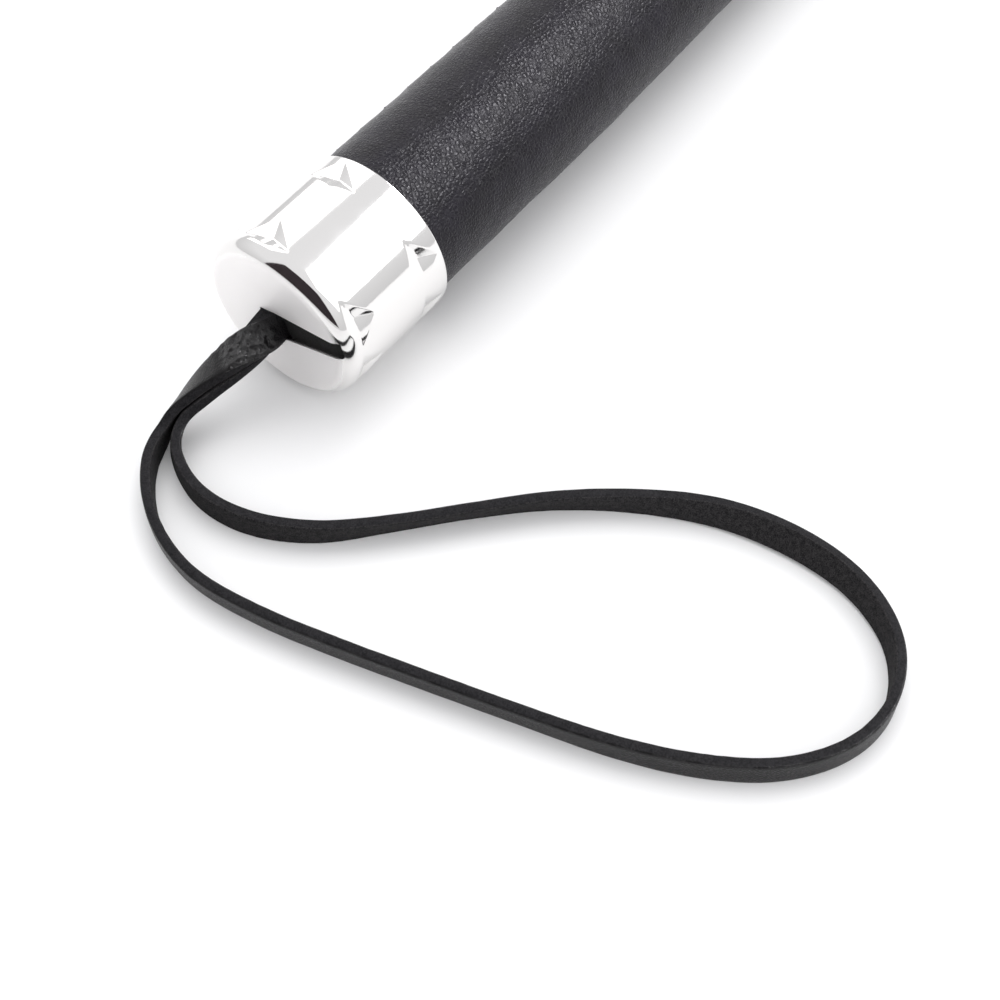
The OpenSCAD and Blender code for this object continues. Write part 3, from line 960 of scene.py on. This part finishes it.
def make_keeper():
    """The tongue and its wrapped root, as one piece of leather."""
    corner_start = HINGE + FLAP_LEN - CORNER_R
    stations = spread(SLEEVE_START, WHIP_END, 4.0) + spread(WHIP_END, HINGE + SHOULDER, 1.0)[1:]
    stations += spread(HINGE + SHOULDER, corner_start, 1.5)[1:]
    stations += [corner_start + CORNER_R * math.sin(math.radians(a)) for a in range(10, 91, 10)]
    rings = [[keeper_place(x, y, z) for y, z in keeper_section(x)] for x in stations]
    keeper = make_mesh("keeper_leather_tongue", flat(rings), skin(rings), [KEEPER_LEATHER])
    outward(keeper)
    sharpen(keeper, 45)
    return keeper


KEEPER = make_keeper()
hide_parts("keeper_sleeve", "keeper_flap")
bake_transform(KEEPER)


def stitch_row(start, end, face):
    """Stitches along a line on one face of the tongue, from one (x, y) point to another."""
    run = math.dist(start, end)
    count = int(run / STITCH_PITCH)
    height = face * (FLAP_T / 2 - 0.05)
    rings = []
    for i in range(count):
        ends = []
        for t in ((i + 0.5) * run / count - STITCH_LEN / 2, (i + 0.5) * run / count + STITCH_LEN / 2):
            share = t / run
            ends.append(on_flap(mix(start[0], end[0], share), mix(start[1], end[1], share), height))
        rings.append(capsule_points(*ends, FLAP_UP * face, STITCH_R * MM))
    return rings


def make_stitching():
    """Stitches along the sides and the far end, on both faces."""
    edge, far = FLAP_W / 2 - STITCH_INSET, FLAP_LEN - STITCH_INSET
    root = FLAP_ROOT_W / 2 - STITCH_INSET / 2
    tubes = []
    for side in (1, -1):
        for face in (1, -1):
            tubes += stitch_row((STITCH_ROOT, side * root), (SHOULDER, side * edge), face)
            tubes += stitch_row((SHOULDER, side * edge), (FLAP_LEN - CORNER_R, side * edge), face)
            tubes += stitch_row((far, 0), (far, side * (edge - CORNER_R + STITCH_INSET)), face)
    return many_tubes("keeper_stitch_thread", tubes, [THREAD])


STITCHING = make_stitching()
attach(STITCHING, "keeper")
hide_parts("keeper_stitching")

# ---------------------------------------------------------------- finishes of the CAD nodes

NODE_FINISHES = {
    "butt_pad": (PAD_LEATHER, "pad_leather"), "strap_tails": (STRAP_EDGE, "strap_leather"),
    "strap_pin": (STEEL, "steel"), "grip_core": (WOOD, "wood"), "grip_padding": (FOAM, "foam"),
    "shaft_rod": (FIBREGLASS, "fibreglass"), "tip_cap": (RUBBER, "rubber"),
    "keeper_filler": (FILLER_BOARD, "filler_board"),
    "end_cap": (CHROME, "polished_metal"), "wrist_strap": (STRAP_GRAIN, "strap_leather"),
    "grip_cover": (GRIP_LEATHER, "grip_leather"), "grip_seam_stitches": (THREAD, "thread"),
    "front_ferrule": (CHROME, "polished_metal"), "front_binding": (THREAD, "thread"),
    "shaft_braid": (BRAID_YARN, "braid"), "keeper_sleeve": (KEEPER_LEATHER, "keeper_leather"),
    "keeper_whipping": (THREAD, "thread"), "keeper_flap": (KEEPER_LEATHER, "keeper_leather"),
    "keeper_stitching": (THREAD, "thread")}

for node_name, (finish, slot_name) in NODE_FINISHES.items():
    node_object = frame["nodes"][node_name]
    node_object.data.materials.clear()
    node_object.data.materials.append(finish)

# ---------------------------------------------------------------- floor and light

FLOOR = new_material("floor", (0.92, 0.92, 0.92), 0.55, specular=0.2)
DARK = new_material("dark_card", (0.032, 0.025, 0.028), 1.0, specular=0.0)
LIGHT_DISTANCE = 1.5


def make_floor():
    size = 6.0
    corners = [(-size, -size, 0), (size, -size, 0), (size, size, 0), (-size, size, 0)]
    floor = make_mesh("floor", corners, [(0, 1, 2, 3)], [FLOOR], smooth=False)


def area_light(name, direction, width, height, power, glossy=True, diffuse=True, colour=(1, 1, 1)):
    """A rectangular light in a direction from the cap, facing it."""
    data = bpy.data.lights.new(name, "AREA")
    data.shape = "RECTANGLE"
    data.size, data.size_y = width, height
    data.energy = power
    data.color = colour
    light = bpy.data.objects.new(name, data)
    way = Vector(direction).normalized()
    light.location = BUTT + way * LIGHT_DISTANCE
    light.rotation_mode = "QUATERNION"
    light.rotation_quaternion = way.to_track_quat("Z", "Y")
    light.visible_glossy = glossy
    light.visible_diffuse = diffuse
    SCENE.collection.objects.link(light)


def dark_card(distance, across, heights):
    """An upright card past the end of the cap that only mirror-like reflections see."""
    left, right = across
    low, high = heights
    corners = [BUTT_FLOOR + Vector((-distance, y, z))
               for y, z in ((left, low), (right, low), (right, high), (left, high))]
    card = make_mesh("dark_card", corners, [(0, 1, 2, 3)], [DARK], smooth=False)
    card.visible_camera = False
    card.visible_diffuse = False
    card.visible_shadow = False
    card.visible_transmission = False


make_floor()
# The first two light everything; the others show only as reflections in the metal.
area_light("key", (0.4, 0.25, 0.88), 1.3, 1.3, power=11, glossy=False)
area_light("fill", (0.2, -0.85, 0.4), 1.2, 0.8, power=3.5, glossy=False)
area_light("streak_panel", (0.5, -0.52, 0.68), 1.3, 1.25, power=9, diffuse=False)
area_light("streak_strip", (0.52, -0.27, 0.79), 1.3, 0.22, power=28, diffuse=False, colour=(0.97, 0.955, 1.0))
area_light("left_panel", (0.47, 0.72, 0.52), 0.9, 1.2, power=3.9, diffuse=False, colour=(1.0, 0.97, 0.955))
dark_card(0.6, across=(-1.1, 0.4), heights=(0.08, 1.5))


def make_world():
    """A pale room, a little darker near the horizon."""
    world = bpy.data.worlds.new("studio")
    SCENE.world = world
    world.use_nodes = True
    tree = world.node_tree
    place = add(tree, "ShaderNodeTexCoord").outputs["Generated"]
    height = add(tree, "ShaderNodeSeparateXYZ", {"Vector": place}).outputs["Z"]
    level = ranged(tree, height, 0.02, 0.5, 0.82, 1.02)
    tree.nodes["Background"].inputs["Color"].default_value = (0.985, 0.985, 1.0, 1)
    tree.links.new(level, tree.nodes["Background"].inputs["Strength"])


make_world()
SCENE.view_settings.view_transform = "Standard"

bpy.context.view_layer.update()
